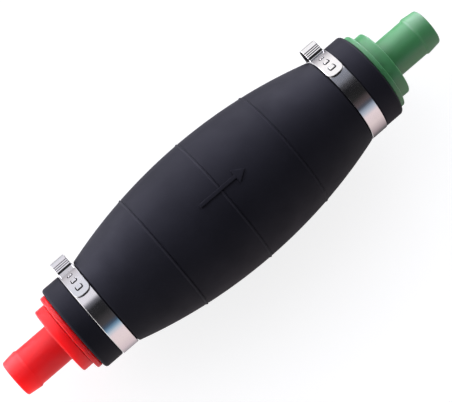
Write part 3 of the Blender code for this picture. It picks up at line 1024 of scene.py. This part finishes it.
def make_backdrop():
    """A pale floor that curves up into a wall and a ceiling.

    Only the camera sees it: the studio lights the pump."""
    steps = 24
    arc = [math.pi / 2 * i / steps for i in range(1, steps + 1)]
    reach, cove = 3.0, 2.5
    profile = [(reach, 0.0)] + [(reach + cove * math.sin(t), cove * (1 - math.cos(t))) for t in arc]
    wall = profile[-1]
    profile += [(wall[0] * math.cos(t), wall[1] + wall[0] * math.sin(t)) for t in arc[:-1]]
    base = FLOOR_HEIGHT * MM
    verts, faces = [(0, 0, base)], []
    sides = 64
    for r, z in profile:
        turns = [2 * math.pi * j / sides for j in range(sides)]
        verts += [(r * math.cos(t), r * math.sin(t), base + z) for t in turns]
    for j in range(sides):
        faces.append((0, 1 + j, 1 + (j + 1) % sides))
    for i in range(len(profile) - 1):
        for j in range(sides):
            a, b = 1 + i * sides + j, 1 + i * sides + (j + 1) % sides
            faces.append((a, a + sides, b + sides, b))
    backdrop = new_object("backdrop", verts, faces)
    backdrop.data.shade_smooth()
    backdrop.visible_diffuse = backdrop.visible_glossy = False
    backdrop.visible_transmission = backdrop.visible_shadow = False
    m = Nodes("backdrop")
    m.set(Base_Color=(0.35, 0.35, 0.35, 1), Roughness=0.9, Specular_IOR_Level=0.0)
    m.set(Emission_Color=(1, 1, 1, 1), Emission_Strength=0.78)
    backdrop.data.materials.append(m.material)


# What shines on the pump, by the angle round its axis from +Z towards +Y: the strip of the studio that the
# steel mirrors at the inlet's end and at the outlet's, what is to either side of that strip, and what is
# beyond the pump's two ends.
INLET_STRIP = (
    (-180, (0.25, 0.22, 0.24)),
    (-150, (0.52, 0.46, 0.49)),
    (-132, (0.80, 0.66, 0.70)),
    (-100, (0.95, 0.80, 0.81)),
    (-72, (0.97, 0.82, 0.85)),
    (-62, (0.62, 0.70, 0.80)),
    (-53, (0.20, 0.36, 0.52)),
    (-45, (0.06, 0.10, 0.16)),
    (-36, (0.07, 0.065, 0.07)),
    (-12, (0.022, 0.022, 0.024)),
    (10, (0.024, 0.024, 0.028)),
    (20, (0.18, 0.18, 0.21)),
    (29, (0.96, 0.94, 1.02)),
    (40, (0.96, 0.94, 1.02)),
    (56, (0.80, 0.84, 0.94)),
    (84, (0.92, 0.92, 1.0)),
    (112, (0.72, 0.69, 0.74)),
    (124, (0.45, 0.43, 0.46)),
    (131, (0.03, 0.03, 0.03)),
    (150, (0.03, 0.03, 0.03)),
    (158, (1.1, 1.1, 1.15)),
    (180, (0.8, 0.8, 0.8)),
)
OUTLET_STRIP = (
    (-180, (0.10, 0.09, 0.10)),
    (-150, (0.16, 0.15, 0.155)),
    (-132, (0.42, 0.34, 0.36)),
    (-100, (0.86, 0.72, 0.73)),
    (-72, (0.97, 0.82, 0.85)),
    (-62, (0.60, 0.64, 0.74)),
    (-53, (0.34, 0.40, 0.50)),
    (-45, (0.08, 0.09, 0.12)),
    (-36, (0.11, 0.085, 0.09)),
    (-20, (0.02, 0.02, 0.02)),
    (8, (0.012, 0.012, 0.014)),
    (20, (0.045, 0.045, 0.05)),
    (32, (0.20, 0.21, 0.25)),
    (52, (0.28, 0.30, 0.36)),
    (59, (1.15, 1.15, 1.18)),
    (90, (1.25, 1.22, 1.23)),
    (112, (0.85, 0.82, 0.86)),
    (125, (0.45, 0.42, 0.46)),
    (132, (0.03, 0.03, 0.03)),
    (150, (0.03, 0.03, 0.03)),
    (158, (1.1, 1.1, 1.15)),
    (180, (0.8, 0.8, 0.8)),
)
SIDES_OF_STRIP = (
    (-180, (0.74, 0.74, 0.74)),
    (-120, (0.70, 0.68, 0.68)),
    (-60, (0.62, 0.60, 0.60)),
    (-46, (0.27, 0.27, 0.28)),
    (0, (0.28, 0.28, 0.30)),
    (20, (0.8, 0.8, 0.88)),
    (45, (2.6, 2.6, 2.85)),
    (70, (4.6, 4.6, 5.1)),
    (85, (6.0, 6.0, 6.7)),
    (115, (6.0, 6.0, 6.7)),
    (128, (1.2, 1.2, 1.3)),
    (180, (0.8, 0.8, 0.85)),
)
BEYOND_INLET = (
    (-180, (1.0, 1.0, 1.0)),
    (-90, (1.6, 1.6, 1.6)),
    (-20, (1.4, 1.4, 1.4)),
    (20, (0.9, 0.9, 0.9)),
    (70, (1.9, 1.9, 1.95)),
    (120, (1.9, 1.9, 1.95)),
    (180, (0.8, 0.8, 0.8)),
)
BEYOND_OUTLET = (
    (-180, (0.35, 0.35, 0.35)),
    (-90, (0.35, 0.35, 0.35)),
    (-40, (0.15, 0.15, 0.15)),
    (30, (0.2, 0.2, 0.22)),
    (80, (0.6, 0.6, 0.65)),
    (180, (0.4, 0.4, 0.42)),
)

# Where one stretch of the studio fades into the next, by how much of a direction points along the axis:
# the strip's middle and half width, its change from the inlet's colours to the outlet's, and the two ends.
STRIP_MIDDLE = 0.07
STRIP_FADE = (0.17, 0.27)
OUTLET_FADE = (0.03, 0.13)
BEYOND_FADE = (0.72, 0.86)
BEYOND_SIDES_FADE = (-0.1, 0.1)


def soft_step(tree, value, fade):
    """0 below the first value of the fade, 1 above the second."""
    low, high = fade
    share = math_node(tree, "DIVIDE", math_node(tree, "SUBTRACT", value, low), high - low)
    return math_node(tree, "MINIMUM", math_node(tree, "MAXIMUM", share, 0.0), 1.0)


def colour_ramp(tree, share, stops):
    """Colours by (degrees, colour), for a share that runs from 0 at -180 degrees to 1 at 180."""
    node = tree.nodes.new("ShaderNodeValToRGB")
    tree.links.new(share, node.inputs[0])
    while len(node.color_ramp.elements) < len(stops):
        node.color_ramp.elements.new(0.5)
    for element, (degrees, colour) in zip(node.color_ramp.elements, stops):
        element.position = (degrees + 180) / 360
        element.color = (*colour, 1)
    return node.outputs[0]


def make_world():
    """The studio, as seen from the pump."""
    world = bpy.data.worlds.new("studio")
    bpy.context.scene.world = world
    world.use_nodes = True
    tree = world.node_tree
    background = tree.nodes["Background"]
    coords = tree.nodes.new("ShaderNodeTexCoord").outputs["Generated"]
    split = tree.nodes.new("ShaderNodeSeparateXYZ")
    tree.links.new(coords, split.inputs[0])
    along = split.outputs["X"]
    lean = math_node(tree, "DEGREES", math_node(tree, "ARCTAN2", split.outputs["Y"], split.outputs["Z"]))
    share = math_node(tree, "DIVIDE", math_node(tree, "ADD", lean, 180.0), 360.0)
    inlet, outlet, aside, beyond_inlet, beyond_outlet = (
        colour_ramp(tree, share, stops)
        for stops in (INLET_STRIP, OUTLET_STRIP, SIDES_OF_STRIP, BEYOND_INLET, BEYOND_OUTLET)
    )
    strip = mix_colours(tree, soft_step(tree, along, OUTLET_FADE), inlet, outlet)
    beside = math_node(tree, "ABSOLUTE", math_node(tree, "SUBTRACT", along, STRIP_MIDDLE))
    wide = mix_colours(tree, soft_step(tree, beside, STRIP_FADE), strip, aside)
    beyond = mix_colours(tree, soft_step(tree, along, BEYOND_SIDES_FADE), beyond_inlet, beyond_outlet)
    endwise = soft_step(tree, math_node(tree, "ABSOLUTE", along), BEYOND_FADE)
    tree.links.new(mix_colours(tree, endwise, wide, beyond), background.inputs[0])
    background.inputs[1].default_value = 1.0


def main():
    bpy.context.scene.view_settings.view_transform = "Standard"
    materials = make_materials()
    make_camera()
    make_backdrop()
    make_world()
    make_bulb(materials)
    flow_arrow(materials)
    for end in ENDS:
        make_end(end, materials)
        make_valve(end, materials)
        make_clamp(end, materials)


main()
